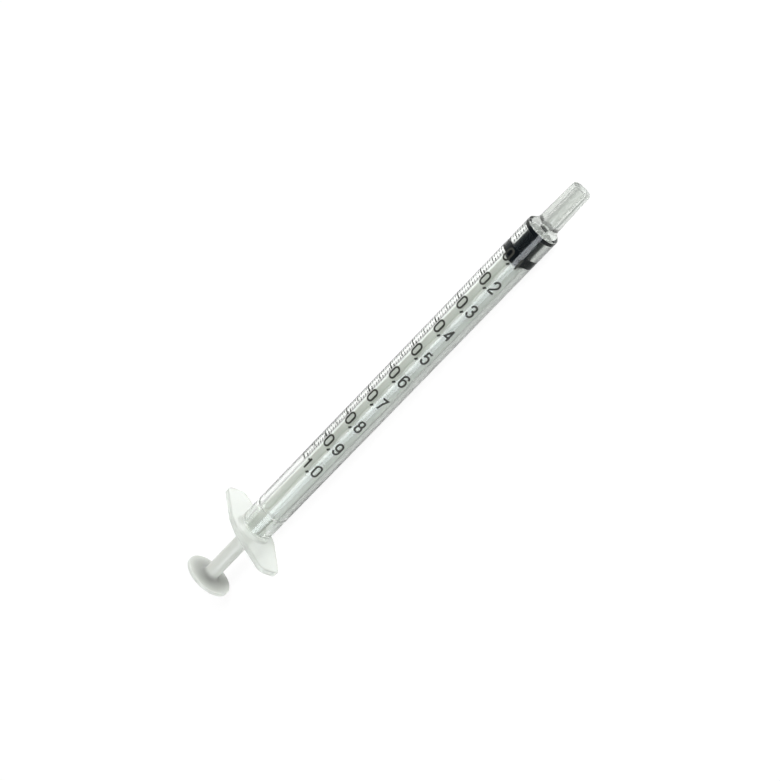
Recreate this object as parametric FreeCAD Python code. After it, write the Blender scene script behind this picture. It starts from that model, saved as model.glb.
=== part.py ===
"""A one millilitre slip tip syringe of three moulded pieces, in millimetres.

The barrel's axis lies along X, with the nozzle towards +X and the thumb disc towards -X. The finger
flange is long along Y, and the syringe lies on a flat of that flange, with +Z up. The origin is at
the middle of the base of the whole object, with the plunger pressed fully home.
"""
import FreeCAD
import Part
import math
import os

# Bore and printed scale
bore_d = 4.465
nominal_volume = 1000.0
spare_volume = 100.0
bore_area = math.pi * bore_d ** 2 / 4
travel = (nominal_volume + spare_volume) / bore_area

# Barrel tube
barrel_od = 6.80
bore_length = 84.8
front_wall = 0.60

# Cone at the front of the bore, which the piston's front follows
front_cone_length = 0.40

# Ring in the bore that keeps the piston in, and the wider entry behind it
ring_height = 0.16
ring_width = 0.40
ring_flank = 0.30
ring_gap = 0.10
entry_step = 0.06
mouth_chamfer = 0.45

# Shoulder and conical nozzle
shoulder_angle = 45.0
shoulder_edge_r = 0.35
nozzle_root_r = 1.0
nozzle_length = 10.4
nozzle_end_d = 3.93
nozzle_taper = 0.06
nozzle_edge_r = 0.25
lumen_d = 1.70
lumen_chamfer = 0.12

# Finger flange, whose outline is a long lozenge with blunt ends
flange_thickness = 1.20
flange_half_length = 11.05
flange_half_width = 4.85
flange_flat_half = 2.0
flange_end_half = 2.25
flange_end_r = 1.8
flange_side_r = 5.0
flange_edge_r = 0.30
flange_root_r = 0.50

# Rubber piston
front_gap = 0.05
rib_clearance = 0.02
piston_length = 7.5
front_rib_length = 0.75
rear_rib_length = 1.90
rib_flank = 0.20
rear_taper_length = 0.70
rear_taper_depth = 0.40
waist_depth = 0.17

# Snap seat of the rod in the piston
seat_clearance = 0.05
neck_d = 1.70
neck_length = 1.50
head_d = 2.50
head_length = 2.20
head_nose_chamfer = 0.50
seat_mouth_chamfer = 0.20

# Plunger rod
rod_length = 89.8
front_plate_d = 3.60
front_plate_thickness = 0.60
front_plate_chamfer = 0.15
fin_span = 3.68
fin_thickness = 0.90
fin_tip_r = 0.12
fin_root_r = 0.25
fin_roll = 45.0
fin_end_slope = 30.0
shank_d = 3.07
shank_length = 20.0
shank_nose_slope = 45.0
shank_root_r = 0.90
disc_d = 10.0
disc_thickness = 0.80
disc_edge_r = 0.25

# Sizes that follow from the ones above
bore_r = bore_d / 2
barrel_r = barrel_od / 2
lumen_r = lumen_d / 2
entry_r = bore_r + entry_step
ring_r = bore_r - ring_height
nozzle_end_r = nozzle_end_d / 2
rib_r = bore_r - rib_clearance
waist_r = rib_r - waist_depth
head_r = head_d / 2
plate_r = front_plate_d / 2
shank_r = shank_d / 2
fin_reach = fin_span / 2
disc_r = disc_d / 2

# Places along X, each worked out from the one before it
overall_length = (disc_thickness + rod_length + seat_clearance + piston_length + front_gap
                  + front_wall + nozzle_length)
nozzle_end_x = overall_length / 2
shoulder_x = nozzle_end_x - nozzle_length
bore_front_x = shoulder_x - front_wall
mouth_x = bore_front_x - bore_length
flange_front_x = mouth_x + flange_thickness
piston_front_x = bore_front_x - front_gap
piston_rear_x = piston_front_x - piston_length
ring_front_x = piston_rear_x - travel - ring_gap
rod_front_x = piston_rear_x - seat_clearance
disc_front_x = rod_front_x - rod_length
disc_rear_x = disc_front_x - disc_thickness
shank_front_x = disc_front_x + shank_length

# The axis runs at the height of the widest piece below it
axis_z = max(disc_r, flange_half_width, barrel_r)


def corner_arc(before, corner, after, radius):
    """Return the start, middle and end of the arc that rounds a corner of an outline."""
    back = (before - corner).normalize()
    ahead = (after - corner).normalize()
    half_angle = math.acos(max(-1.0, min(1.0, back.dot(ahead)))) / 2
    reach = radius / math.tan(half_angle)
    inward = (back + ahead).normalize()
    start = corner + back * reach
    end = corner + ahead * reach
    middle = corner + inward * (radius / math.sin(half_angle) - radius)
    return start, middle, end


def rounded_face(corners):
    """Make a flat face from corners of the form (point, radius), where radius 0 is a sharp corner."""
    count = len(corners)
    spans = []
    for i, (corner, radius) in enumerate(corners):
        before = corners[i - 1][0]
        after = corners[(i + 1) % count][0]
        spans.append(corner_arc(before, corner, after, radius) if radius > 0 else (corner, None, corner))
    edges = []
    for i, (start, middle, end) in enumerate(spans):
        if middle is not None:
            edges.append(Part.Arc(start, middle, end).toShape())
        following = spans[(i + 1) % count][0]
        if (following - end).Length > 1e-7:
            edges.append(Part.LineSegment(end, following).toShape())
    return Part.Face(Part.Wire(edges))


def revolved(profile):
    """Turn a profile of (x, distance from the axis, corner radius) round the X axis."""
    corners = [(FreeCAD.Vector(x, 0, distance), radius) for x, distance, radius in profile]
    return rounded_face(corners).revolve(FreeCAD.Vector(0, 0, 0), FreeCAD.Vector(1, 0, 0), 360)


def extruded(outline, x_from, x_to):
    """Carry an outline of (y, z, corner radius) along X."""
    corners = [(FreeCAD.Vector(x_from, y, z), radius) for y, z, radius in outline]
    return rounded_face(corners).extrude(FreeCAD.Vector(x_to - x_from, 0, 0))


def one_solid(shape):
    """Return the single solid that a fused or cut shape holds, with its seams tidied."""
    tidy = shape.removeSplitter()
    return tidy.Solids[0]


def flange_plate():
    """Make the finger flange: a long lozenge with a flat at each side, blunt ends and rounded rims."""
    quarter = [
        (flange_flat_half, flange_half_width, flange_side_r),
        (flange_half_length, flange_end_half, flange_end_r),
    ]
    right = quarter + [(y, -z, radius) for y, z, radius in reversed(quarter)]
    left = [(-y, z, radius) for y, z, radius in reversed(right)]
    plate = extruded(right + left, mouth_x, flange_front_x)
    rims = [edge for edge in plate.Edges if edge.BoundBox.XLength < flange_edge_r]
    return plate.makeFillet(flange_edge_r, rims)


def barrel_body():
    """Make the barrel's outside: flange root, tube, conical shoulder and tapered nozzle, all solid."""
    slope = math.tan(math.radians(shoulder_angle))
    half_taper = nozzle_taper / 2
    # The shoulder's cone meets the nozzle's cone where both have the same radius
    nozzle_base_r = nozzle_end_r + half_taper * nozzle_length
    cone_length = (barrel_r - nozzle_base_r) / (slope - half_taper)
    meet_r = barrel_r - slope * cone_length
    return revolved([
        (mouth_x + flange_edge_r, 0, 0),
        (mouth_x + flange_edge_r, barrel_r + flange_root_r, 0),
        (flange_front_x, barrel_r + flange_root_r, 0),
        (flange_front_x, barrel_r, flange_root_r * 0.999),
        (shoulder_x, barrel_r, shoulder_edge_r),
        (shoulder_x + cone_length, meet_r, nozzle_root_r),
        (nozzle_end_x, nozzle_end_r, nozzle_edge_r),
        (nozzle_end_x, 0, 0),
    ])


def barrel_bore():
    """Make the space inside the barrel: wide entry, keeping ring, bore, front cone and the lumen."""
    ring_rear_x = ring_front_x - ring_width
    past = mouth_chamfer
    return revolved([
        (mouth_x - past, 0, 0),
        (mouth_x - past, entry_r + mouth_chamfer + past, 0),
        (mouth_x + mouth_chamfer, entry_r, 0),
        (ring_rear_x - ring_flank, entry_r, 0),
        (ring_rear_x, ring_r, 0),
        (ring_front_x - ring_flank, ring_r, 0),
        (ring_front_x, bore_r, 0),
        (bore_front_x, bore_r, 0),
        (bore_front_x + front_cone_length, lumen_r, 0),
        (nozzle_end_x - lumen_chamfer, lumen_r, 0),
        (nozzle_end_x + lumen_chamfer, lumen_r + 2 * lumen_chamfer, 0),
        (nozzle_end_x + lumen_chamfer, 0, 0),
    ])


def barrel():
    """Join the flange to the tube and open the bore through both."""
    return one_solid(flange_plate().fuse(barrel_body()).cut(barrel_bore()))


def piston():
    """Make the rubber piston: conical front, two sealing ribs, a waist and the seat for the rod's head."""
    waist_front_x = piston_front_x - front_rib_length
    rear_rib_rear_x = piston_rear_x + rear_taper_length
    waist_rear_x = rear_rib_rear_x + rear_rib_length
    body = revolved([
        (piston_front_x + front_cone_length, 0, 0),
        (piston_front_x + front_cone_length, lumen_r - rib_clearance, 0),
        (piston_front_x, rib_r, 0),
        (waist_front_x, rib_r, 0),
        (waist_front_x - rib_flank, waist_r, 0),
        (waist_rear_x + rib_flank, waist_r, 0),
        (waist_rear_x, rib_r, 0),
        (rear_rib_rear_x, rib_r, 0),
        (piston_rear_x, rib_r - rear_taper_depth, 0),
        (piston_rear_x, 0, 0),
    ])
    neck_hole_r = neck_d / 2 + seat_clearance
    seat_r = head_r + seat_clearance
    seat_rear_x = rod_front_x + neck_length - seat_clearance
    seat_front_x = rod_front_x + neck_length + head_length + seat_clearance
    seat = revolved([
        (piston_rear_x - seat_mouth_chamfer, 0, 0),
        (piston_rear_x - seat_mouth_chamfer, neck_hole_r + 2 * seat_mouth_chamfer, 0),
        (piston_rear_x + seat_mouth_chamfer, neck_hole_r, 0),
        (seat_rear_x, neck_hole_r, 0),
        (seat_rear_x, seat_r, 0),
        (seat_front_x - head_nose_chamfer, seat_r, 0),
        (seat_front_x, seat_r - head_nose_chamfer, 0),
        (seat_front_x, 0, 0),
    ])
    return one_solid(body.cut(seat))


def rod_snap_end():
    """Make the rod's front: the plate that pushes the piston, the neck and the snap head."""
    plate_rear_x = rod_front_x - front_plate_thickness
    head_rear_x = rod_front_x + neck_length
    head_front_x = head_rear_x + head_length
    return revolved([
        (plate_rear_x, 0, 0),
        (plate_rear_x, plate_r, 0),
        (rod_front_x - front_plate_chamfer, plate_r, 0),
        (rod_front_x, plate_r - front_plate_chamfer, 0),
        (rod_front_x, neck_d / 2, 0),
        (head_rear_x, neck_d / 2, 0),
        (head_rear_x, head_r, 0),
        (head_front_x - head_nose_chamfer, head_r, 0),
        (head_front_x, head_r - head_nose_chamfer, 0),
        (head_front_x, 0, 0),
    ])


def rod_fins():
    """Make the four fins of the rod's front stretch, whose rear ends slope down into the shank."""
    half = fin_thickness / 2
    arm = [(half, half, fin_root_r), (half, fin_reach, fin_tip_r), (-half, fin_reach, fin_tip_r)]
    outline = []
    for quarter_turns in range(4):
        angle = math.radians(90 * quarter_turns + fin_roll)
        cosine = math.cos(angle)
        sine = math.sin(angle)
        outline += [(y * cosine - z * sine, y * sine + z * cosine, radius) for y, z, radius in arm]
    cross_front_x = rod_front_x - front_plate_thickness / 2
    slope_length = (fin_reach - half) / math.tan(math.radians(fin_end_slope))
    cross = extruded(outline, shank_front_x - slope_length, cross_front_x)
    envelope = revolved([
        (shank_front_x - slope_length, 0, 0),
        (shank_front_x - slope_length, half, 0),
        (shank_front_x, fin_reach, 0),
        (cross_front_x, fin_reach, 0),
        (cross_front_x, 0, 0),
    ])
    return cross.common(envelope)


def rod_rear():
    """Make the rod's round shank and the thumb disc at its end."""
    nose_length = (shank_r - fin_thickness / 2) / math.tan(math.radians(shank_nose_slope))
    return revolved([
        (disc_rear_x, 0, 0),
        (disc_rear_x, disc_r, disc_edge_r),
        (disc_front_x, disc_r, disc_edge_r),
        (disc_front_x, shank_r, shank_root_r),
        (shank_front_x - nose_length, shank_r, 0),
        (shank_front_x, fin_thickness / 2, 0),
        (shank_front_x, 0, 0),
    ])


def plunger_rod():
    """Join the snap end, the fins, the shank and the disc, which are moulded in one."""
    return one_solid(rod_snap_end().fuse(rod_fins()).fuse(rod_rear()))


os.makedirs("parts", exist_ok=True)
raise_to_axis = FreeCAD.Vector(0, 0, axis_z)
for name, build in (("barrel", barrel), ("piston", piston), ("plunger_rod", plunger_rod)):
    solid = build()
    solid.translate(raise_to_axis)
    solid.exportStep(os.path.join("parts", name + ".step"))
    print(name, "valid", solid.isValid(), "volume mm3", round(solid.Volume, 2))
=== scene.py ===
"""The looks of a one millilitre slip tip syringe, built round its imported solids.

The clear barrel, the black piston and the milky plunger rod are each one closed surface, worked out as
rings round the syringe's axis. The printed scale lies on the barrel. All sizes here are millimetres,
and MM turns them into the frame's metres when a mesh is made.
"""

import logging
import math
from dataclasses import dataclass
from enum import Enum

import bpy
import numpy as np
from mathutils import Matrix, Vector


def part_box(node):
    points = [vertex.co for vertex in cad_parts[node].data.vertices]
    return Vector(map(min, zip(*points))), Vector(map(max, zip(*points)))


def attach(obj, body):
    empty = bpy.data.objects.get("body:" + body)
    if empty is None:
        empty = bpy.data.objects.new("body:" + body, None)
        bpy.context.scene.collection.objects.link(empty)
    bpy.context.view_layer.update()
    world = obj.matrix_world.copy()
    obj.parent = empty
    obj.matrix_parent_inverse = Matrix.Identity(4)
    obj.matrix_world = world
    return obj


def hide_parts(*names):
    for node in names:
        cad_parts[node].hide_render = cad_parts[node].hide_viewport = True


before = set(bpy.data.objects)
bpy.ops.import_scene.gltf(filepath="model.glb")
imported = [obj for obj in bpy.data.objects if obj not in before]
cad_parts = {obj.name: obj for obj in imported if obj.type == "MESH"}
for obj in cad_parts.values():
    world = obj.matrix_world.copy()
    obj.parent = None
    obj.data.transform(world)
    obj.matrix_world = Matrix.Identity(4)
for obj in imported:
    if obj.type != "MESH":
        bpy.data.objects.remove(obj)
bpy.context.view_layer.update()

LOG = logging.getLogger("syringe")
MM = 0.001
HUNDREDTH_MM3 = 10.0
CREASE = math.radians(28.0)
Pair = tuple[float, float]
Triple = tuple[float, float, float]
Color = tuple[float, float, float, float]
WHITE = (1.0, 1.0, 1.0, 1.0)


def linear(red: int, green: int, blue: int) -> Color:
    """Turn a colour of 0 to 255, as a picture shows it, into the linear colour that a shader takes.

    Args:
        red: The red share, 0 to 255.
        green: The green share, 0 to 255.
        blue: The blue share, 0 to 255.

    Returns:
        The linear red, green and blue, with an alpha of 1.
    """
    shown = np.array([red, green, blue]) / 255.0
    low = shown / 12.92
    high = ((shown + 0.055) / 1.055) ** 2.4
    return (*np.where(shown <= 0.04045, low, high).tolist(), 1.0)


def node_box(name: str) -> np.ndarray:
    """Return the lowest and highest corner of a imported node, in millimetres, as two rows."""
    return np.array([list(corner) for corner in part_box(name)]) / MM


AXIS_Z = node_box("barrel")[:, 2].mean()


def unit(vector: np.ndarray) -> np.ndarray:
    """Return vectors scaled to length 1 along their last axis."""
    return vector / np.linalg.norm(vector, axis=-1, keepdims=True)


def rounded_path(corners: list[Triple], closed: bool = False, steps: int = 8) -> np.ndarray:
    """Round the corners of a flat path with arcs.

    An arc of radius R touches both sides of its corner. Its points are the centre plus the two touching
    directions, weighted by sin((1 - t) turn) and sin(t turn) over sin(turn), as t goes from 0 to 1.

    Args:
        corners: The corners as (first coordinate, second coordinate, radius); radius 0 stays sharp.
        closed: Whether the last corner joins the first.
        steps: The number of stretches in each arc.

    Returns:
        The path's points, one row each.
    """
    points = np.array([corner[:2] for corner in corners], float)
    share = np.linspace(0.0, 1.0, steps + 1)[:, None]
    pieces = []
    for index, point in enumerate(points):
        radius = corners[index][2]
        if radius == 0 or (not closed and index in (0, len(points) - 1)):
            pieces.append(point[None])
            continue
        back = unit(points[index - 1] - point)
        ahead = unit(points[(index + 1) % len(points)] - point)
        half = math.acos(float(back @ ahead)) / 2
        turn = math.pi - 2 * half
        centre = point + unit(back + ahead) * radius / math.sin(half)
        first = point + back * radius / math.tan(half) - centre
        last = point + ahead * radius / math.tan(half) - centre
        blend = np.sin((1 - share) * turn) * first + np.sin(share * turn) * last
        pieces.append(centre + blend / math.sin(turn))
    return np.concatenate(pieces)


def run_along(line: np.ndarray) -> np.ndarray:
    """Return how far along a line each of its points lies."""
    return np.concatenate([[0.0], np.cumsum(np.linalg.norm(np.diff(line, axis=0), axis=1))])


def points_at(line: np.ndarray, at: np.ndarray) -> np.ndarray:
    """Return the points of a flat line that lie at the given distances along it."""
    run = run_along(line)
    return np.column_stack([np.interp(at, run, line[:, column]) for column in (0, 1)])


def evenly_spaced(outline: np.ndarray, count: int) -> np.ndarray:
    """Return as many points as count says, at equal runs along a closed outline."""
    loop = np.vstack([outline, outline[:1]])
    return points_at(loop, np.linspace(0.0, run_along(loop)[-1], count, endpoint=False))


def ring_quads(rows: int, count: int, joined: bool) -> np.ndarray:
    """Number the quads that cover a stack of rings.

    Args:
        rows: The number of rings.
        count: The points in each ring.
        joined: Whether the last ring is joined to the first.

    Returns:
        The quads as four vertex numbers a row.
    """
    row = np.arange(rows if joined else rows - 1)[:, None]
    column = np.arange(count)[None, :]
    after_row = (row + 1) % rows
    after_column = (column + 1) % count
    corners = [row * count + column, row * count + after_column,
               after_row * count + after_column, after_row * count + column]
    return np.stack(corners, axis=-1).reshape(-1, 4)


def strip_quads(rows: int, joined: bool = False) -> np.ndarray:
    """Number the quads of a strip whose section has four corners.

    Args:
        rows: The number of sections.
        joined: Whether the last section is joined to the first. Otherwise both ends have a cap.

    Returns:
        The quads as four vertex numbers a row.
    """
    quads = ring_quads(rows, 4, joined)
    last = 4 * (rows - 1)
    caps = [[3, 2, 1, 0], [last, last + 1, last + 2, last + 3]]
    return quads if joined else np.vstack([quads, caps])


def pole_fan(ring_start: int, count: int, pole: int, first: bool) -> np.ndarray:
    """Number the triangles between a ring and the pole point beside it.

    Args:
        ring_start: The number of the ring's first vertex.
        count: The points in the ring.
        pole: The pole's vertex number.
        first: Whether the pole stands before the first ring, which turns the triangles round.

    Returns:
        The triangles as three vertex numbers a row.
    """
    here = ring_start + np.arange(count)
    after = ring_start + (np.arange(count) + 1) % count
    pair = (after, here) if first else (here, after)
    return np.column_stack([*pair, np.full(count, pole)])


def signed_volume(vertices: np.ndarray, faces: list[list[int]]) -> float:
    """Add up the volumes of the cones from the origin to the faces.

    Args:
        vertices: The points, one row each.
        faces: The vertex numbers of each face, three or four.

    Returns:
        The volume, which is positive where the faces point out.
    """
    total = 0.0
    for size in (3, 4):
        chosen = np.array([face for face in faces if len(face) == size])
        for corner in range(1, size - 1):
            if len(chosen):
                a, b, c = (vertices[chosen[:, k]] for k in (0, corner, corner + 1))
                total += float(np.einsum("ij,ij->", a, np.cross(b, c))) / 6
    return total


def new_piece(name: str, vertices: np.ndarray, faces: list[list[int]],
              smooth: bool = True) -> bpy.types.Object:
    """Make a piece from points in millimetres, with its faces turned outwards.

    Args:
        name: The piece's name.
        vertices: The points, one row each, in millimetres.
        faces: The vertex numbers of each face.
        smooth: Whether faces are shaded smooth up to the crease angle.

    Returns:
        The new object, at the origin.
    """
    if signed_volume(vertices, faces) < 0:
        faces = [face[::-1] for face in faces]
    mesh = bpy.data.meshes.new(name)
    mesh.from_pydata((vertices * MM).tolist(), [], faces)
    mesh.validate()
    if smooth:
        mesh.polygons.foreach_set("use_smooth", np.ones(len(mesh.polygons), bool))
        mesh.set_sharp_from_angle(angle=CREASE)
    mesh.update()
    piece = bpy.data.objects.new(name, mesh)
    bpy.context.scene.collection.objects.link(piece)
    return piece


def turned_piece(name: str, path: np.ndarray, count: int, reach: np.ndarray | None = None,
                 turns: np.ndarray | None = None) -> bpy.types.Object:
    """Turn a path whose ends lie on the syringe's axis into a closed surface.

    Args:
        name: The piece's name.
        path: The (x, radius) points, the first and last of radius 0.
        count: The points in each ring.
        reach: The radius of each point of each inner ring, where the rings aren't circles.
        turns: The angle of each point round the axis, where they aren't evenly spaced.

    Returns:
        The new object.
    """
    angle = np.linspace(0.0, 2 * math.pi, count, endpoint=False) if turns is None else turns
    inner = path[1:-1]
    radius = np.repeat(inner[:, 1:], count, axis=1) if reach is None else reach
    rings = np.stack([np.broadcast_to(inner[:, :1], radius.shape), radius * np.cos(angle),
                      radius * np.sin(angle) + AXIS_Z], axis=-1)
    poles = np.array([[path[0, 0], 0.0, AXIS_Z], [path[-1, 0], 0.0, AXIS_Z]])
    vertices = np.vstack([rings.reshape(-1, 3), poles])
    total = len(inner) * count
    faces = ring_quads(len(inner), count, joined=False).tolist()
    faces += pole_fan(0, count, total, first=True).tolist()
    faces += pole_fan(total - count, count, total + 1, first=False).tolist()
    return new_piece(name, vertices, faces)


class Signal:
    """A shader value that can be added, multiplied and compared in Python."""

    def __init__(self, board: "NodeBoard", socket: bpy.types.NodeSocket) -> None:
        """Hold the socket and the board that its nodes are on."""
        self.board = board
        self.socket = socket

    def _math(self, operation: str, *values: "Signal | float") -> "Signal":
        """Add a Math node and return its value."""
        return self.board.node("ShaderNodeMath", {"operation": operation}, dict(enumerate(values)))

    def __add__(self, other: "Signal | float") -> "Signal":
        """Return self + other."""
        return self._math("ADD", self, other)

    __radd__ = __add__

    def __sub__(self, other: "Signal | float") -> "Signal":
        """Return self - other."""
        return self._math("SUBTRACT", self, other)

    def __rsub__(self, other: "Signal | float") -> "Signal":
        """Return other - self."""
        return self._math("SUBTRACT", other, self)

    def __mul__(self, other: "Signal | float") -> "Signal":
        """Return self * other."""
        return self._math("MULTIPLY", self, other)

    __rmul__ = __mul__

    def __gt__(self, other: "Signal | float") -> "Signal":
        """Return 1 where self is greater than other, and 0 elsewhere."""
        return self._math("GREATER_THAN", self, other)

    def __or__(self, other: "Signal | float") -> "Signal":
        """Return the larger of the two, which joins two masks."""
        return self._math("MAXIMUM", self, other)

    def over(self, ends: Pair) -> "Signal":
        """Return the first of two ends where self is 0, the second where it is 1, and a mix between."""
        return self * (ends[1] - ends[0]) + ends[0]


@dataclass(frozen=True)
class Grain:
    """A noise: the width of its blotches in millimetres, its finer layers and its stretch along X."""

    size: float
    layers: float = 2.0
    stretch: float = 1.0


class NodeBoard:
    """The node tree of one material or of the world."""

    def __init__(self, owner: bpy.types.ID) -> None:
        """Empty the owner's node tree and keep it.

        Args:
            owner: The material or the world.
        """
        owner.use_nodes = True
        self.tree = owner.node_tree
        self.tree.nodes.clear()

    def node(self, kind: str, settings: dict | None = None, values: dict | None = None,
             out: int | str = 0) -> Signal:
        """Add one node.

        Args:
            kind: The node's type.
            settings: Properties that are set first, such as a Math node's operation or a ramp's stops.
            values: What goes into its sockets, by name or number: a Signal is linked, a value is set.
            out: The output that is returned.

        Returns:
            The chosen output.
        """
        made = self.tree.nodes.new(kind)
        for key, value in (settings or {}).items():
            if key == "stops":
                ramp = made.color_ramp
                while len(ramp.elements) < len(value):
                    ramp.elements.new(0.5)
                for element, (position, color) in zip(ramp.elements, value):
                    element.position = position
                    element.color = color
            else:
                setattr(made, key, value)
        for key, value in (values or {}).items():
            if isinstance(value, Signal):
                self.tree.links.new(value.socket, made.inputs[key])
            else:
                made.inputs[key].default_value = value
        return Signal(self, made.outputs[out])

    def place(self) -> Signal:
        """Return the Object coordinates, in metres."""
        return self.node("ShaderNodeTexCoord", out="Object")

    def along(self, axis: str) -> Signal:
        """Return the place along X, Y or Z, in millimetres."""
        return self.node("ShaderNodeSeparateXYZ", {}, {"Vector": self.place()}, out=axis) * (1 / MM)

    def between(self, value: Signal, ends: Pair) -> Signal:
        """Return 0 at the first of two ends, 1 at the second and beyond, and a straight line between."""
        return self.node("ShaderNodeMapRange", {"clamp": True},
                         {"Value": value, "From Min": ends[0], "From Max": ends[1]}, out="Result")

    def noise(self, grain: Grain) -> Signal:
        """Add a noise on the Object coordinates.

        Args:
            grain: The noise's size, finer layers and stretch.

        Returns:
            The noise's value, 0 to 1.
        """
        scale = [1 / (grain.size * MM * along) for along in (grain.stretch, 1, 1)]
        moved = self.node("ShaderNodeMapping", {}, {"Vector": self.place(), "Scale": scale})
        values = {"Vector": moved, "Scale": 1.0, "Detail": grain.layers}
        return self.node("ShaderNodeTexNoise", {}, values, out="Fac")

    def ray(self, kind: str) -> Signal:
        """Return an output of the Light Path node, such as Is Camera Ray, which is 1 for such rays."""
        return self.node("ShaderNodeLightPath", out=kind)

    def tint(self, share: Signal, low: Signal | Color, high: Signal | Color) -> Signal:
        """Mix two colours by a share of 0 to 1."""
        return self.node("ShaderNodeMix", {"data_type": "RGBA"}, {"Factor": share, 6: low, 7: high}, out=2)

    def mix(self, share: Signal | float, first: Signal, second: Signal) -> Signal:
        """Mix two shaders by a share of 0 to 1."""
        return self.node("ShaderNodeMixShader", {}, {0: share, 1: first, 2: second})

    def bump(self, height: Signal, depth_mm: float) -> Signal:
        """Return a normal bent by a height of 0 to 1 that is depth_mm deep."""
        values = {"Height": height, "Strength": 1.0, "Distance": depth_mm * MM}
        return self.node("ShaderNodeBump", {}, values)

    def close(self, shader: Signal, kind: str = "ShaderNodeOutputMaterial") -> None:
        """Send a shader to the output."""
        output = self.tree.nodes.new(kind)
        self.tree.links.new(shader.socket, output.inputs["Surface"])


@dataclass(frozen=True)
class ClearPlastic:
    """Clear moulded plastic of the barrel: faint flow lines, and hazier at the flange and the nozzle."""

    tint_low: Color = linear(242, 245, 241)
    tint_high: Color = linear(248, 250, 248)
    nozzle_tint: Color = linear(222, 224, 221)
    haze_color: Color = linear(235, 238, 234)
    shadow_tint: Color = linear(252, 253, 252)
    index: float = 1.49
    roughness: Pair = (0.08, 0.13)
    flow: Grain = Grain(1.2, 3.0, 18.0)
    tube_haze: float = 0.002
    flange_haze: float = 0.40
    nozzle_haze: float = 0.22
    haze_through: float = 0.5
    flange_x: Pair = (-38.6, -39.4)
    nozzle_x: Pair = (44.0, 46.6)
    ripple: Grain = Grain(0.9, 2.0, 12.0)
    ripple_depth: float = 0.0010
    ripple_rear_x: Pair = (-36.0, -33.0)
    ripple_front_x: Pair = (43.4, 42.4)

    def make(self) -> bpy.types.Material:
        """Build the material.

        The share of haze is up to tube_haze in the tube. It rises by flange_haze across flange_x and by
        nozzle_haze across nozzle_x. Only the tube's surface ripples.

        Returns:
            The material.
        """
        material = bpy.data.materials.new("clear_moulded_plastic")
        board = NodeBoard(material)
        flow = board.noise(self.flow)
        x = board.along("X")
        in_nozzle = board.between(x, self.nozzle_x)
        in_flange = board.between(x, self.flange_x)
        in_tube = board.between(x, self.ripple_rear_x) * board.between(x, self.ripple_front_x)
        clear = board.tint(flow, self.tint_low, self.tint_high)
        body = board.node("ShaderNodeBsdfPrincipled", {}, {
            "Base Color": board.tint(in_nozzle, clear, self.nozzle_tint),
            "Roughness": flow.over(self.roughness),
            "IOR": self.index,
            "Transmission Weight": 1.0,
            "Normal": board.bump(board.noise(self.ripple) * in_tube, self.ripple_depth),
        })
        bright = board.node("ShaderNodeBsdfDiffuse", {}, {"Color": self.haze_color})
        shone_through = board.node("ShaderNodeBsdfTranslucent", {}, {"Color": self.haze_color})
        haze = board.mix(self.haze_through, bright, shone_through)
        share = in_flange * self.flange_haze + in_nozzle * self.nozzle_haze + flow * self.tube_haze
        plastic = board.mix(share, body, haze)
        see_through = board.node("ShaderNodeBsdfTransparent", {}, {"Color": self.shadow_tint})
        board.close(board.mix(board.ray("Is Shadow Ray"), plastic, see_through))
        return material


@dataclass(frozen=True)
class MilkyPlastic:
    """Milky, slightly see-through plastic of the plunger rod, with painted shade at the disc's middle and
    painted light inside the barrel.
    """

    tint_low: Color = linear(188, 191, 186)
    tint_high: Color = linear(204, 207, 202)
    cloud: Grain = Grain(2.2, 3.0, 4.0)
    # Painted light: a lighter colour for the rod past fins_x, inside the barrel, making up for light that
    # the barrel holds back.
    fins: Color = linear(216, 218, 213)
    fins_x: Pair = (-38.0, -34.0)
    # Painted shade: a darker colour for the disc's middle round the shank's root.
    painted_root_shade: Color = linear(140, 142, 138)
    painted_root_shade_share: Pair = (0.6, 1.0)
    painted_root_shade_square: Pair = (19.0, 3.5)
    disc_x: Pair = (-52.6, -53.5)
    disc_back_x: Pair = (-54.5, -54.0)
    index: float = 1.50
    roughness: Pair = (0.30, 0.42)
    milk: float = 0.9
    milk_reach: float = 1.6
    see_through: float = 0.15
    grain: Grain = Grain(0.12)
    grain_depth: float = 0.002

    def make(self) -> bpy.types.Material:
        """Build the material.

        The painted shade lies on the disc's middle round the shank's root, from disc_x to disc_back_x, and
        grows as y squared plus z squared falls across its two given squares.

        Returns:
            The material.
        """
        material = bpy.data.materials.new("milky_rod_plastic")
        board = NodeBoard(material)
        cloud = board.noise(self.cloud)
        grain = board.noise(self.grain)
        x, y = board.along("X"), board.along("Y")
        z = board.along("Z") - AXIS_Z
        # Painted shade on the disc's middle, where the shank joins it, varied by the cloud noise.
        painted_root_shade = (board.between(y * y + z * z, self.painted_root_shade_square) * board.between(x, self.disc_x)
                 * board.between(x, self.disc_back_x))
        shank = board.tint(cloud, self.tint_low, self.tint_high)
        # Painted light: the rod inside the barrel is tinted lighter than the shank outside it.
        plain = board.tint(board.between(x, self.fins_x), shank, self.fins)
        board.close(board.node("ShaderNodeBsdfPrincipled", {}, {
            "Base Color": board.tint(painted_root_shade * cloud.over(self.painted_root_shade_share), plain, self.painted_root_shade),
            "Roughness": grain.over(self.roughness),
            "IOR": self.index,
            "Subsurface Weight": self.milk,
            "Subsurface Radius": (1.0, 1.0, 1.0),
            "Subsurface Scale": self.milk_reach * MM,
            "Transmission Weight": self.see_through,
            "Normal": board.bump(grain, self.grain_depth),
        }))
        return material


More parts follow.
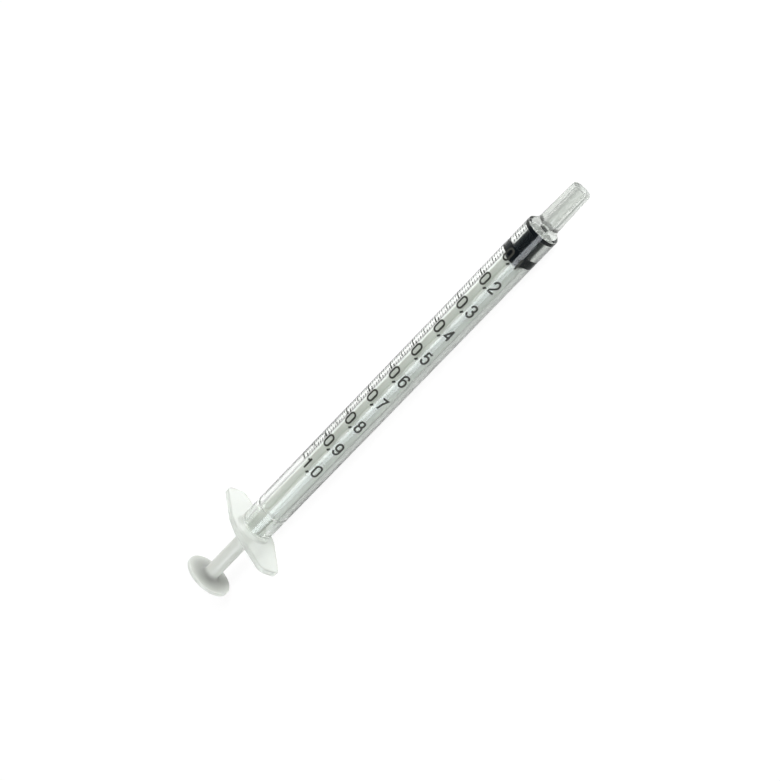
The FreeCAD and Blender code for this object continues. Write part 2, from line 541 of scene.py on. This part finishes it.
@dataclass(frozen=True)
class BlackRubber:
    """Smooth black rubber of the piston, with a film of oil."""

    tint_low: Color = linear(4, 9, 13)
    tint_high: Color = linear(10, 18, 24)
    bloom: Grain = Grain(0.8, 3.0)
    roughness: Pair = (0.24, 0.39)
    shine: float = 0.08
    grain: Grain = Grain(0.06)
    grain_depth: float = 0.002

    def make(self) -> bpy.types.Material:
        """Build the material.

        Returns:
            The material.
        """
        material = bpy.data.materials.new("oiled_black_rubber")
        board = NodeBoard(material)
        bloom = board.noise(self.bloom)
        board.close(board.node("ShaderNodeBsdfPrincipled", {}, {
            "Base Color": board.tint(bloom, self.tint_low, self.tint_high),
            "Roughness": bloom.over(self.roughness),
            "Specular IOR Level": self.shine,
            "Normal": board.bump(board.noise(self.grain), self.grain_depth),
        }))
        return material


@dataclass(frozen=True)
class ScaleInk:
    """Black printing ink of the scale, a little uneven."""

    tint_low: Color = linear(30, 31, 28)
    tint_high: Color = linear(66, 67, 62)
    blotch: Grain = Grain(0.25, 3.0)
    roughness: Pair = (0.4, 0.6)
    shine: float = 0.2

    def make(self) -> bpy.types.Material:
        """Build the material.

        Returns:
            The material.
        """
        material = bpy.data.materials.new("black_scale_ink")
        board = NodeBoard(material)
        blotch = board.noise(self.blotch)
        board.close(board.node("ShaderNodeBsdfPrincipled", {}, {
            "Base Color": board.tint(blotch, self.tint_low, self.tint_high),
            "Roughness": blotch.over(self.roughness),
            "Specular IOR Level": self.shine,
        }))
        return material


@dataclass
class Barrel:
    """The clear barrel: finger flange, tube, shoulder and slip nozzle, moulded in one."""

    tube_radius: float = 3.40
    bore_radius: float = 2.2325
    front_wall: float = 0.60
    nozzle_length: float = 10.4
    nozzle_end_radius: float = 1.965
    nozzle_taper: float = 0.06
    nozzle_root: float = 1.0
    nozzle_edge: float = 0.25
    shoulder_edge: float = 0.35
    front_cone: float = 0.40
    cone_edge: float = 0.08
    lumen_radius: float = 0.85
    lumen_chamfer: float = 0.12
    ring_x: float = -34.25
    ring_height: float = 0.12
    ring_width: float = 0.50
    ring_flank: float = 0.34
    ring_round: float = 0.35
    entry_radius: float = 2.2925
    mouth_chamfer: float = 0.45
    flange_thickness: float = 1.20
    flange_half_width: float = 4.85
    flange_flat_half: float = 2.0
    flange_end_half: float = 2.25
    flange_end_radius: float = 1.8
    flange_side_radius: float = 5.0
    flange_edge: float = 0.30
    flange_root: float = 0.4995
    root_gap: float = 0.001
    points_round: int = 384
    outline_steps: int = 24
    face_rows: int = 8
    edge_rows: int = 7

    def __post_init__(self) -> None:
        """Take the places along X and the flange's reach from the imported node."""
        low, high = node_box("barrel")
        self.mouth_x = low[0]
        self.nozzle_x = high[0]
        self.flange_half_length = high[1]
        self.flange_front_x = self.mouth_x + self.flange_thickness
        self.shoulder_x = self.nozzle_x - self.nozzle_length
        self.bore_front_x = self.shoulder_x - self.front_wall

    def flange_outline(self) -> np.ndarray:
        """Work out the flange's outline, a lozenge with blunt ends.

        Returns:
            The (y, z) points, at equal runs round it.
        """
        quarter = [
            (self.flange_flat_half, self.flange_half_width, self.flange_side_radius),
            (self.flange_half_length, self.flange_end_half, self.flange_end_radius),
        ]
        right = quarter + [(y, -z, radius) for y, z, radius in reversed(quarter)]
        left = [(-y, z, radius) for y, z, radius in reversed(right)]
        outline = rounded_path(right + left, closed=True, steps=self.outline_steps)
        return evenly_spaced(outline, self.points_round)

    def turned_profile(self) -> np.ndarray:
        """Work out the path that is turned round the axis.

        Returns:
            The (x, radius) points, from the flange's front over the nozzle and back through the bore.
        """
        half_taper = self.nozzle_taper / 2
        base_radius = self.nozzle_end_radius + half_taper * self.nozzle_length
        cone_length = (self.tube_radius - base_radius) / (1 - half_taper)
        ring_radius = self.bore_radius - self.ring_height
        ring_rear_x = self.ring_x - self.ring_width
        lip = self.lumen_chamfer
        return rounded_path([
            (self.flange_front_x, self.tube_radius + self.flange_root + self.root_gap, 0),
            (self.flange_front_x, self.tube_radius, self.flange_root),
            (self.shoulder_x, self.tube_radius, self.shoulder_edge),
            (self.shoulder_x + cone_length, self.tube_radius - cone_length, self.nozzle_root),
            (self.nozzle_x, self.nozzle_end_radius, self.nozzle_edge),
            (self.nozzle_x, self.lumen_radius + lip, 0),
            (self.nozzle_x - lip, self.lumen_radius, 0),
            (self.bore_front_x + self.front_cone, self.lumen_radius, 0),
            (self.bore_front_x, self.bore_radius, self.cone_edge),
            (self.ring_x, self.bore_radius, self.ring_round),
            (self.ring_x - self.ring_flank, ring_radius, self.ring_round),
            (ring_rear_x, ring_radius, self.ring_round),
            (ring_rear_x - self.ring_flank, self.entry_radius, self.ring_round),
            (self.mouth_x + self.mouth_chamfer, self.entry_radius, 0),
            (self.mouth_x, self.entry_radius + self.mouth_chamfer, 0),
        ])

    def build(self) -> bpy.types.Object:
        """Build the barrel as rings that close on themselves through the bore.

        A ring's points are (1 - w) times a circle of radius r, plus w times the flange's outline moved
        in by an inset along its own normal. The tube's rings have w = 0, and the flange's rim has w = 1.

        Returns:
            The barrel's object.
        """
        outline = self.flange_outline()
        outward = unit(outline)
        along = np.roll(outline, -1, axis=0) - np.roll(outline, 1, axis=0)
        normal = unit(np.column_stack([along[:, 1], -along[:, 0]]))
        normal *= np.sign(np.einsum("ij,ij->i", normal, outward))[:, None]

        turned = self.turned_profile()
        root = turned[0, 1]
        edge = self.flange_edge
        bend = np.linspace(0.0, math.pi / 2, self.edge_rows)
        spread = np.linspace(0.0, 1.0, self.face_rows)
        rows = [np.column_stack([turned, np.zeros((len(turned), 2))])]
        rows.append([(self.mouth_x, root, w, edge) for w in spread])
        for face_x, way, turns in ((self.mouth_x, 1, bend[1:]), (self.flange_front_x, -1, bend[::-1])):
            rows.append([(face_x + way * edge * (1 - math.cos(a)), root, 1, edge * (1 - math.sin(a)))
                         for a in turns])
        rows.append([(self.flange_front_x, root, w, edge) for w in spread[-2:0:-1]])
        table = np.concatenate([np.array(part, float) for part in rows])
        x, radius, weight, inset = table.T[:, :, None, None]

        flat = (1 - weight) * radius * outward[None] + weight * (outline[None] - inset * normal[None])
        rings = np.concatenate([np.broadcast_to(x, (*flat.shape[:2], 1)), flat], axis=2)
        rings[..., 2] += AXIS_Z
        quads = ring_quads(*rings.shape[:2], joined=True)
        return new_piece("clear_barrel", rings.reshape(-1, 3), quads.tolist())


@dataclass
class Piston:
    """The rubber piston: a conical front, two ribs that press into the bore's wall, and a waist."""

    press: float = 0.012
    front_cone: float = 0.40
    tip_radius: float = 0.83
    front_edge: float = 0.06
    front_rib: float = 0.75
    rear_rib: float = 1.90
    rib_flank: float = 0.20
    rib_edge: float = 0.06
    rear_rib_edge: float = 0.12
    rear_taper: float = 0.70
    rear_step: float = 0.40
    rear_edge: float = 0.08
    waist_depth: float = 0.17
    waist_round: float = 0.15
    mouth_radius: float = 1.10
    mouth_edge: float = 0.05
    mouth_depth: float = 0.20
    neck_radius: float = 0.90
    neck_length: float = 1.40
    seat_radius: float = 1.30
    seat_length: float = 2.30
    seat_nose: float = 0.50
    points_round: int = 160

    def build(self, bore_radius: float) -> bpy.types.Object:
        """Build the piston by turning one path, from the front's tip to the bottom of the rod's seat.

        Args:
            bore_radius: The radius of the bore that the ribs press into.

        Returns:
            The piston's object.
        """
        low, high = node_box("piston")
        front, rear = high[0] - self.front_cone, low[0]
        rib = bore_radius + self.press
        waist = bore_radius - self.waist_depth
        rear_rib_x = rear + self.rear_taper
        neck_x = rear + self.neck_length
        seat_x = neck_x + self.seat_length
        path = rounded_path([
            (high[0], 0, 0),
            (high[0], self.tip_radius, self.front_edge),
            (front, rib, self.front_edge),
            (front - self.front_rib, rib, self.rib_edge),
            (front - self.front_rib - self.rib_flank, waist, self.waist_round),
            (rear_rib_x + self.rear_rib + self.rib_flank, waist, self.waist_round),
            (rear_rib_x + self.rear_rib, rib, self.rib_edge),
            (rear_rib_x, rib, self.rear_rib_edge),
            (rear, rib - self.rear_step, self.rear_edge),
            (rear, self.mouth_radius, self.mouth_edge),
            (rear + self.mouth_depth, self.neck_radius, 0),
            (neck_x, self.neck_radius, 0),
            (neck_x, self.seat_radius, 0),
            (seat_x - self.seat_nose, self.seat_radius, 0),
            (seat_x, self.seat_radius - self.seat_nose, 0),
            (seat_x, 0, 0),
        ])
        return turned_piece("rubber_piston", path, self.points_round)


@dataclass
class PlungerRod:
    """The plunger rod: thumb disc, round shank, four fins, front plate and snap head, moulded in one."""

    disc_thickness: float = 0.80
    disc_edge: float = 0.25
    shank_radius: float = 1.535
    shank_root: float = 0.90
    shank_length: float = 20.0
    fin_reach: float = 1.84
    fin_thickness: float = 0.90
    fin_tip: float = 0.12
    fin_root: float = 0.25
    fin_roll: float = 45.0
    fin_slope: float = 30.0
    plate_radius: float = 1.80
    plate_thickness: float = 0.60
    plate_chamfer: float = 0.15
    neck_radius: float = 0.85
    neck_length: float = 1.50
    head_radius: float = 1.25
    head_length: float = 2.20
    head_nose: float = 0.50
    points_round: int = 336
    slope_rows: int = 40
    fin_rows: int = 36

    def __post_init__(self) -> None:
        """Take the places along X and the disc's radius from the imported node."""
        low, high = node_box("plunger_rod")
        self.disc_rear_x = low[0]
        self.disc_radius = high[1]
        self.head_front_x = high[0]
        self.disc_front_x = self.disc_rear_x + self.disc_thickness
        self.shank_front_x = self.disc_front_x + self.shank_length
        self.plate_front_x = self.head_front_x - self.head_length - self.neck_length
        self.plate_rear_x = self.plate_front_x - self.plate_thickness

    def cross_outline(self) -> np.ndarray:
        """Work out the section of the four fins, a cross.

        Returns:
            The (y, z) points, at equal runs round it.
        """
        half = self.fin_thickness / 2
        arm = [(half, half, self.fin_root), (half, self.fin_reach, self.fin_tip),
               (-half, self.fin_reach, self.fin_tip)]
        corners = []
        for quarter in range(4):
            angle = math.radians(90 * quarter + self.fin_roll)
            cosine, sine = math.cos(angle), math.sin(angle)
            corners += [(y * cosine - z * sine, y * sine + z * cosine, radius) for y, z, radius in arm]
        return evenly_spaced(rounded_path(corners, closed=True), self.points_round)

    def build(self) -> bpy.types.Object:
        """Build the rod as rings whose radius is the larger of a turned core and the fins.

        The radius at place x and angle a is max(core(x), min(cross(a), envelope(x))), where the
        envelope slopes the fins' rear ends down into the shank.

        Returns:
            The rod's object.
        """
        half = self.fin_thickness / 2
        nose = self.shank_radius - half
        grade = math.tan(math.radians(self.fin_slope))
        slope = (self.fin_reach - half) / grade
        run_out = np.linspace(self.shank_front_x - slope, self.shank_front_x, self.slope_rows)
        core = rounded_path([
            (self.disc_rear_x, 0, 0),
            (self.disc_rear_x, self.disc_radius, self.disc_edge),
            (self.disc_front_x, self.disc_radius, self.disc_edge),
            (self.disc_front_x, self.shank_radius, self.shank_root),
            (run_out[0], self.shank_radius, 0),
        ])
        past_nose = run_out[1:] - (self.shank_front_x - nose)
        core_radius = np.clip(self.shank_radius - past_nose, half, self.shank_radius)
        fins_x = np.linspace(self.shank_front_x, self.plate_rear_x, self.fin_rows)[1:]
        front = rounded_path([
            (self.plate_rear_x, self.plate_radius, 0),
            (self.plate_front_x - self.plate_chamfer, self.plate_radius, 0),
            (self.plate_front_x, self.plate_radius - self.plate_chamfer, 0),
            (self.plate_front_x, self.neck_radius, 0),
            (self.plate_front_x + self.neck_length, self.neck_radius, 0),
            (self.plate_front_x + self.neck_length, self.head_radius, 0),
            (self.head_front_x - self.head_nose, self.head_radius, 0),
            (self.head_front_x, self.head_radius - self.head_nose, 0),
            (self.head_front_x, 0, 0),
        ])
        path = np.vstack([core, np.column_stack([run_out[1:], core_radius]),
                          np.column_stack([fins_x, np.zeros_like(fins_x)]), front])
        envelope = np.concatenate([
            np.zeros(len(core)),
            half + (run_out[1:] - run_out[0]) * grade,
            np.full(len(fins_x), self.fin_reach),
            np.zeros(len(front)),
        ])
        outline = self.cross_outline()
        cross = np.linalg.norm(outline, axis=1)
        turns = np.arctan2(outline[:, 1], outline[:, 0])
        reach = np.maximum(path[1:-1, 1:], np.minimum(cross[None], envelope[1:-1, None]))
        return turned_piece("plunger_rod_body", path, self.points_round, reach, turns)


class Rank(Enum):
    """The kinds of scale line, each with the angle of its inner end, in degrees, and its width."""

    TENTH = (-43.0, 0.30)
    HALF = (-50.0, 0.22)
    FINE = (-60.0, 0.16)


class Figure(Enum):
    """The strokes of each printed figure, on a cell 0.56 wide and 1 high.

    A stroke is (closed, corners), and a corner is (across, up, radius).
    """

    ZERO = ((True, ((0, 0, 0.27), (0.56, 0, 0.27), (0.56, 1, 0.27), (0, 1, 0.27))),)
    ONE = ((False, ((0.06, 0.74, 0), (0.36, 0.80, 0.10), (0.36, 1.0, 0))),
           (False, ((0.36, 0.98, 0), (0.36, 0, 0))))
    TWO = ((False, ((0.02, 0.70, 0), (0, 1, 0.26), (0.54, 1, 0.26), (0.56, 0.56, 0.24),
                    (0.02, 0.16, 0.10), (0, 0, 0), (0.56, 0, 0))),)
    THREE = ((False, ((0.02, 0.76, 0), (0.02, 1, 0.22), (0.53, 1, 0.22), (0.53, 0.54, 0.22),
                      (0.22, 0.54, 0))),
             (False, ((0.22, 0.54, 0), (0.56, 0.54, 0.25), (0.56, 0, 0.26), (0, 0, 0.26), (0, 0.25, 0))))
    FOUR = ((False, ((0.43, 0, 0), (0.43, 1, 0))),
            (False, ((0.41, 0.98, 0), (0, 0.28, 0), (0.56, 0.28, 0))))
    FIVE = ((False, ((0.52, 1, 0), (0.10, 1, 0), (0.03, 0.50, 0))),
            (False, ((0.03, 0.50, 0), (0.10, 0.66, 0.12), (0.56, 0.66, 0.26), (0.56, 0, 0.27),
                     (0, 0, 0.27), (0, 0.25, 0))))
    SIX = ((True, ((0, 0, 0.26), (0.56, 0, 0.27), (0.56, 0.62, 0.27), (0, 0.62, 0.26))),
           (False, ((0, 0.34, 0), (0, 1, 0.29), (0.55, 1, 0.24), (0.55, 0.76, 0))))
    SEVEN = ((False, ((0, 1, 0), (0.56, 1, 0), (0.30, 0.55, 0.4), (0.18, 0, 0))),)
    EIGHT = ((True, ((0.03, 0.54, 0.21), (0.53, 0.54, 0.21), (0.53, 1, 0.21), (0.03, 1, 0.21))),
             (True, ((0, 0, 0.26), (0.56, 0, 0.26), (0.56, 0.54, 0.25), (0, 0.54, 0.25))))
    NINE = ((True, ((0, 0.38, 0.26), (0.56, 0.38, 0.26), (0.56, 1, 0.27), (0, 1, 0.27))),
            (False, ((0.56, 0.66, 0), (0.56, 0, 0.29), (0.01, 0, 0.24), (0.01, 0.24, 0))))
    COMMA = ((False, ((0.36, 0.08, 0), (0.18, -0.16, 0))),)


@dataclass
class PrintedScale:
    """The printed scale: a line at each hundredth of a millilitre, and a number at each tenth.

    Its middle line lies at the angle roll round the barrel, and its zero line at zero_x. All strips have
    a section of four corners, whose places across the strip and up from the barrel are side and level.
    """

    zero_x: float
    hundredth: float
    tube_radius: float
    roll: float
    hundredths: int = 100
    outer_angle: float = -97.0
    film: float = 0.010
    sunk: float = 0.004
    figure_height: float = 2.46
    figure_width: float = 1.16
    figure_stroke: float = 0.40
    cell: Pair = (0.56, 1.0)
    first_angle: float = -25.6
    comma_angle: float = -5.4
    second_angle: float = 17.6
    figure_shift: float = 0.06
    line_steps: int = 14
    longest_side: float = 0.15
    sharpest_mitre: float = 0.5
    side: tuple[int, ...] = (-1, -1, 1, 1)
    level: tuple[int, ...] = (0, 1, 1, 0)

    def around(self, angle: np.ndarray, x: np.ndarray, level: np.ndarray) -> np.ndarray:
        """Place points on the barrel.

        Args:
            angle: The angle from the scale's middle line, in radians, along the reading direction.
            x: The place along the barrel.
            level: 0 at the ink's bottom, just under the surface, and 1 at its top.

        Returns:
            The points as (x, y, z), which are (x, -r sin(roll + angle), AXIS_Z + r cos(roll + angle)).
        """
        turn = math.radians(self.roll) + angle
        radius = self.tube_radius + level * (self.film + self.sunk) - self.sunk
        return np.stack([x, -radius * np.sin(turn), AXIS_Z + radius * np.cos(turn)], axis=-1)

    def lines(self) -> bpy.types.Object:
        """Build the scale lines, each a thin closed strip bent round the tube.

        Returns:
            The lines' object.
        """
        index = np.arange(self.hundredths + 1)
        ranks = [Rank.TENTH if k % 10 == 0 else Rank.HALF if k % 5 == 0 else Rank.FINE for k in index]
        inner, width = np.array([rank.value for rank in ranks]).T[:, :, None]
        share = np.linspace(0.0, 1.0, self.line_steps + 1)
        angle = np.radians(self.outer_angle + (inner - self.outer_angle) * share)
        middle = self.zero_x - self.hundredth * index
        x = (middle[:, None] + width / 2 * self.side)[:, None]
        shape = (len(index), self.line_steps + 1, 4)
        points = self.around(np.broadcast_to(angle[..., None], shape), np.broadcast_to(x, shape),
                             np.broadcast_to(self.level, shape))
        strip = strip_quads(shape[1])
        faces = (strip[None] + (index * shape[1] * 4)[:, None, None]).reshape(-1, 4)
        return new_piece("scale_lines", points.reshape(-1, 3), faces.tolist(), smooth=False)

    def ribbon(self, centre: np.ndarray, closed: bool) -> tuple[np.ndarray, np.ndarray]:
        """Give one stroke its width and thickness.

        Each point moves to both sides by half the stroke along the mitre of its two neighbouring
        normals a and b, which is (a + b) / (1 + a.b), and the section is a rectangle there.

        Args:
            centre: The stroke's centre line, in millimetres.
            closed: Whether its last point joins its first.

        Returns:
            The points as (across, up, 0 at the bottom or 1 at the top), and the quads.
        """
        loop = np.vstack([centre, centre[:1]]) if closed else centre
        run = run_along(loop)
        line = points_at(loop, np.union1d(run, np.arange(0.0, run[-1], self.longest_side)))
        ahead = unit(np.diff(line, axis=0))
        normal = np.column_stack([-ahead[:, 1], ahead[:, 0]])
        before = np.vstack([normal[-1:] if closed else normal[:1], normal])
        after = np.vstack([normal, normal[:1] if closed else normal[-1:]])
        spread = (1 + np.einsum("ij,ij->i", before, after)).clip(self.sharpest_mitre)
        mitre = (before + after) / spread[:, None]
        if closed:
            line, mitre = line[:-1], mitre[:-1]
        side = np.reshape(self.side, (1, 4, 1)) * self.figure_stroke / 2
        flat = line[:, None] + mitre[:, None] * side
        level = np.broadcast_to(np.reshape(self.level, (1, 4, 1)), (len(line), 4, 1))
        return np.concatenate([flat, level], axis=2).reshape(-1, 3), strip_quads(len(line), closed)

    def figures(self) -> bpy.types.Object:
        """Build the numbers 0,1 to 1,0 as one piece of thin closed strokes bent round the tube.

        Returns:
            The numbers' object.
        """
        digits = list(Figure)
        cell = np.array(self.cell)
        size = np.array([self.figure_width, self.figure_height]) / cell
        vertices, faces = [], []
        start = 0
        for tenth in range(1, 11):
            label = ((digits[tenth // 10], self.first_angle), (Figure.COMMA, self.comma_angle),
                     (digits[tenth % 10], self.second_angle))
            for figure, middle in label:
                for closed, corners in figure.value:
                    centre = (rounded_path(list(corners), closed) - cell / 2) * size
                    flat, quads = self.ribbon(centre, closed)
                    angle = math.radians(middle) + flat[:, 0] / self.tube_radius
                    x = self.zero_x + self.figure_shift - self.hundredth * 10 * tenth + flat[:, 1]
                    vertices.append(self.around(angle, x, flat[:, 2]))
                    faces.append(quads + start)
                    start += len(flat)
        return new_piece("scale_figures", np.vstack(vertices), np.vstack(faces).tolist(), smooth=False)


@dataclass(frozen=True)
class PhotoView:
    """The photograph's camera, as angles of the syringe to the picture and one point that both share."""

    picture: Pair = (780.0, 781.0)
    focal_px: float = 2363.7
    distance: float = 443.59
    lean: float = 22.324
    slope: float = 45.93
    roll: float = 43.39
    anchor_px: Pair = (382.1, 396.5)
    anchor_x: float = -1.187
    sensor: float = 36.0
    clip_m: Pair = (0.01, 10.0)

    def build(self) -> None:
        """Make the camera.

        The syringe's axis rises by slope in the picture and leans by lean towards the camera, and the
        flange is rolled about the axis by roll. Those three give the frame's X, Y and Z directions in
        the camera's own right, up and back directions, and the anchor point's pixel gives its place.
        """
        lean, slope, roll = (math.radians(angle) for angle in (self.lean, self.slope, self.roll))
        axis = Vector((math.cos(lean) * math.cos(slope), math.cos(lean) * math.sin(slope), math.sin(lean)))
        across = Vector((math.sin(slope), -math.cos(slope), 0.0))
        toward = across.cross(axis)
        up = toward * math.cos(roll) - across * math.sin(roll)
        side = up.cross(axis)
        turned = Matrix((axis, side, up))
        column, row = self.anchor_px
        width, height = self.picture
        anchor = Vector((column - width / 2, height / 2 - row, -self.focal_px))
        anchor *= self.distance / self.focal_px
        place = Vector((self.anchor_x, 0.0, AXIS_Z)) - turned @ anchor

        data = bpy.data.cameras.new("photo_camera")
        data.sensor_width = self.sensor
        data.lens = self.focal_px * self.sensor / max(self.picture)
        data.clip_start, data.clip_end = self.clip_m
        camera = bpy.data.objects.new("photo_camera", data)
        camera.matrix_world = Matrix.Translation(place * MM) @ turned.to_4x4()
        bpy.context.scene.collection.objects.link(camera)
        bpy.context.scene.camera = camera


@dataclass(frozen=True)
class Lamp:
    """A soft lamp, with its place and its width and height in millimetres and its power in watts.

    A glint shows in reflections alone, and other lamps light dull surfaces alone.
    """

    name: str
    place: Triple
    size: Pair
    power: float
    color: Triple = (1.0, 1.0, 1.0)
    glint: bool = False

    def hang(self) -> None:
        """Hang the lamp so that it faces the frame's origin, under the syringe's middle."""
        data = bpy.data.lights.new(self.name, "AREA")
        data.shape = "RECTANGLE"
        data.size, data.size_y = (side * MM for side in self.size)
        data.energy = self.power
        data.color = self.color
        lamp = bpy.data.objects.new(self.name, data)
        lamp.location = Vector(self.place) * MM
        lamp.rotation_mode = "QUATERNION"
        lamp.rotation_quaternion = Vector(self.place).to_track_quat("Z", "Y")
        lamp.visible_camera = False
        lamp.visible_transmission = False
        lamp.visible_diffuse = not self.glint
        lamp.visible_glossy = self.glint
        bpy.context.scene.collection.objects.link(lamp)


@dataclass
class Studio:
    """The pale floor, the white surroundings and the lamps.

    The floor passes under lie_rear and lie_front, the (x, z) of the flange's flat and the shoulder's
    edge, where the syringe rests.
    """

    floor_half: float = 900.0
    lie_rear: Pair = (-40.6, 0.15)
    lie_front: Pair = (44.2, 1.60)
    floor_color: Color = (0.95, 0.95, 0.95, 1.0)
    camera_glow: float = 0.90
    through_glow: float = 0.15
    sky_level: float = 0.66
    through_sky: float = 0.92
    horizon_z: Pair = (0.55, 0.15)
    sky_stops: tuple[Pair, ...] = ((0.0, 0.0496), (0.60, 0.0694), (0.84, 0.4561), (1.0, 0.8130))
    card_color: Color = (0.9, 1.0, 0.9, 1.0)
    card_level: float = 0.22
    card_share: float = 0.85
    card_edge_y: Pair = (-0.5, -4.5)
    card_end_x: Pair = (-42.0, -37.0)
    shade_x: Pair = (37.0, 42.0)
    shade_near_y: Pair = (1.0, 7.0)
    shade_far_y: Pair = (44.0, 24.0)
    shade_share: float = 0.95
    lamps: tuple[Lamp, ...] = (
        Lamp("window_lamp", place=(-197.0, -449.0, 196.0), size=(260.0, 380.0), power=0.55),
        Lamp("top_lamp", place=(230.0, 20.0, 490.0), size=(400.0, 400.0), power=2.85),
        Lamp("window_glint", place=(-190.0, -415.0, 225.0), size=(260.0, 330.0), power=1.65,
             color=(0.90, 0.95, 1.0), glint=True),
    )

    def floor(self) -> None:
        """Lay the floor.

        It is white to the camera. Reflections and refractions see a dark card on it at the front, and a
        painted shadow of the nozzle behind the nozzle.
        """
        (rear_x, rear_z), (front_x, front_z) = self.lie_rear, self.lie_front
        rise = (front_z - rear_z) / (front_x - rear_x)
        reach = self.floor_half
        corners = np.array([(-reach, -reach), (reach, -reach), (reach, reach), (-reach, reach)])
        heights = rear_z + (corners[:, :1] - rear_x) * rise
        mesh = bpy.data.meshes.new("floor")
        mesh.from_pydata((np.hstack([corners, heights]) * MM).tolist(), [], [(0, 1, 2, 3)])
        floor = bpy.data.objects.new("floor", mesh)
        bpy.context.scene.collection.objects.link(floor)

        material = bpy.data.materials.new("pale_floor")
        board = NodeBoard(material)
        matt = board.node("ShaderNodeBsdfDiffuse", {}, {"Color": self.floor_color})
        glow = board.node("ShaderNodeEmission", {}, {"Color": WHITE, "Strength": 1.0})
        camera = board.ray("Is Camera Ray")
        through = board.ray("Is Transmission Ray")
        glowing = camera * self.camera_glow + through * self.through_glow
        lit = board.mix(glowing, matt, glow)
        dark = board.node("ShaderNodeEmission", {},
                          {"Color": self.card_color, "Strength": self.card_level})
        x, y = board.along("X"), board.along("Y")
        card = board.between(y, self.card_edge_y) * board.between(x, self.card_end_x) * self.card_share
        # Painted shadow of the nozzle on the floor, seen only in reflections and refractions.
        shade = (board.between(x, self.shade_x) * board.between(y, self.shade_near_y)
                 * board.between(y, self.shade_far_y) * self.shade_share)
        seen = (board.ray("Is Glossy Ray") | through) * (1 - camera)
        board.close(board.mix(seen * (card | shade), lit, dark))
        mesh.materials.append(material)

    def surroundings(self) -> None:
        """Make the world, which is white to the camera and a tent to all else.

        Light that has met a dull surface has sky_level. A clear reflection sees the tent darken from
        behind the syringe to the front: sky_stops gives its level by how far a direction points along Y,
        from 0 at -Y to 1 at +Y. A clear refraction sees that too, and through_sky near the horizon.
        """
        world = bpy.data.worlds.new("tent")
        bpy.context.scene.world = world
        board = NodeBoard(world)
        direction = {"Vector": board.node("ShaderNodeTexCoord", out="Generated")}
        behind = board.node("ShaderNodeSeparateXYZ", {}, direction, out="Y") * 0.5 + 0.5
        above = board.node("ShaderNodeSeparateXYZ", {}, direction, out="Z")
        stops = [(share, (level, level, level, 1.0)) for share, level in self.sky_stops]
        tent = board.node("ShaderNodeValToRGB", {"stops": stops}, {"Fac": behind})
        camera = board.ray("Is Camera Ray")
        scattered = board.ray("Diffuse Depth") > 0.5
        horizon = board.ray("Is Transmission Ray") * board.between(above, self.horizon_z) * self.through_sky
        clear = (tent | horizon) * (1 - scattered)
        strength = camera + (clear + scattered * self.sky_level) * (1 - camera)
        sky = board.node("ShaderNodeBackground", {}, {"Color": WHITE, "Strength": strength})
        board.close(sky, "ShaderNodeOutputWorld")

    def build(self) -> None:
        """Set up the floor, the surroundings and the lamps."""
        self.floor()
        self.surroundings()
        for lamp in self.lamps:
            lamp.hang()
        bpy.context.scene.view_settings.view_transform = "Standard"


def dress(piece: bpy.types.Object, material: bpy.types.Material, body: str,
          node: str | None = None) -> None:
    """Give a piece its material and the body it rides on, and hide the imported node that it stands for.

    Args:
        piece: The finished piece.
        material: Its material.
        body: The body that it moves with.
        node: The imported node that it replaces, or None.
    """
    piece.data.materials.clear()
    piece.data.materials.append(material)
    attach(piece, body)
    if node:
        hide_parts(node)
    LOG.info("%s rides on %s with %d faces", piece.name, body, len(piece.data.polygons))


def main() -> None:
    """Build the syringe's pieces, dress them, and set up the studio and the camera."""
    logging.basicConfig(level=logging.INFO, format="%(message)s")
    view = PhotoView()
    view.build()
    barrel = Barrel()
    dress(barrel.build(), ClearPlastic().make(), "barrel", "barrel")
    piston = Piston().build(barrel.bore_radius)
    dress(piston, BlackRubber().make(), "piston", "piston")
    rod = PlungerRod().build()
    dress(rod, MilkyPlastic().make(), "plunger_rod", "plunger_rod")
    zero_x = node_box("piston")[1, 0] - barrel.front_cone
    hundredth = HUNDREDTH_MM3 / (math.pi * barrel.bore_radius ** 2)
    scale = PrintedScale(zero_x, hundredth, barrel.tube_radius, view.roll)
    ink = ScaleInk().make()
    dress(scale.lines(), ink, "barrel")
    dress(scale.figures(), ink, "barrel")
    Studio().build()


if __name__ == "__main__":
    main()
